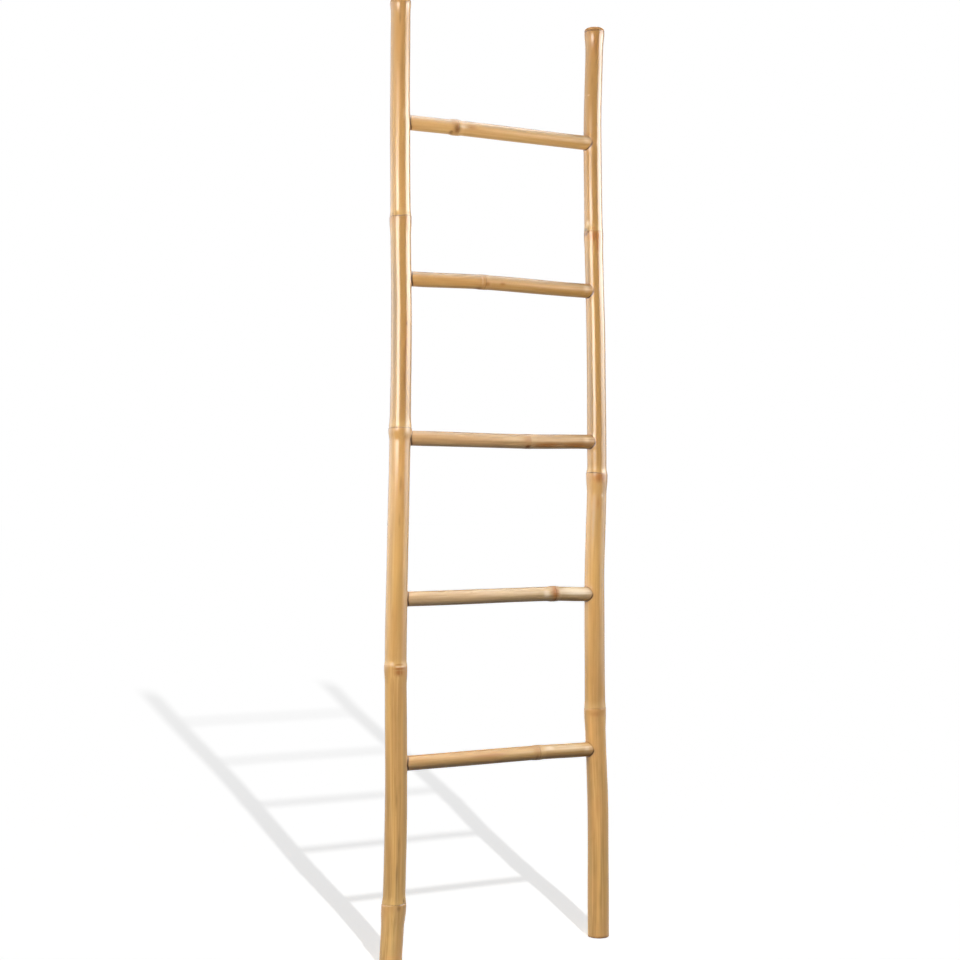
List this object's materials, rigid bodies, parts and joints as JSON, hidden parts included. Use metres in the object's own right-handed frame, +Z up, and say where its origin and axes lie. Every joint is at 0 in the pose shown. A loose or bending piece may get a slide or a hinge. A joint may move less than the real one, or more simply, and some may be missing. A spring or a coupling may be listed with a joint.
{
  "type": "towel ladder",
  "caption": "Bamboo towel ladder to lean on a wall: long culm rails joined by thinner culm rungs that sit in bored sockets and are pinned from the rear.",
  "frame": {"origin": "floor point midway between the rails' feet", "axes": "+Z up along the rails, +X to the right seen from the front, +Y to the rear, where the wall is"},
  "size_m": [0.4194, 0.0386, 1.5],
  "materials": {
    "rail_bamboo": "clear lacquer over honey-coloured bamboo skin",
    "rung_bamboo": "satin lacquer over tan bamboo skin",
    "pin_bamboo": "bare split bamboo, cut flush"
  },
  "bodies": {
    "root": {"left_rail": "rail_bamboo", "right_rail": "rail_bamboo", "rung_1": "rung_bamboo", "rung_2": "rung_bamboo", "rung_3": "rung_bamboo", "rung_4": "rung_bamboo", "rung_5": "rung_bamboo", "pin_1_left": "pin_bamboo", "pin_1_right": "pin_bamboo", "pin_2_left": "pin_bamboo", "pin_2_right": "pin_bamboo", "pin_3_left": "pin_bamboo", "pin_3_right": "pin_bamboo", "pin_4_left": "pin_bamboo", "pin_4_right": "pin_bamboo", "pin_5_left": "pin_bamboo", "pin_5_right": "pin_bamboo"}
  },
  "joints": []
}
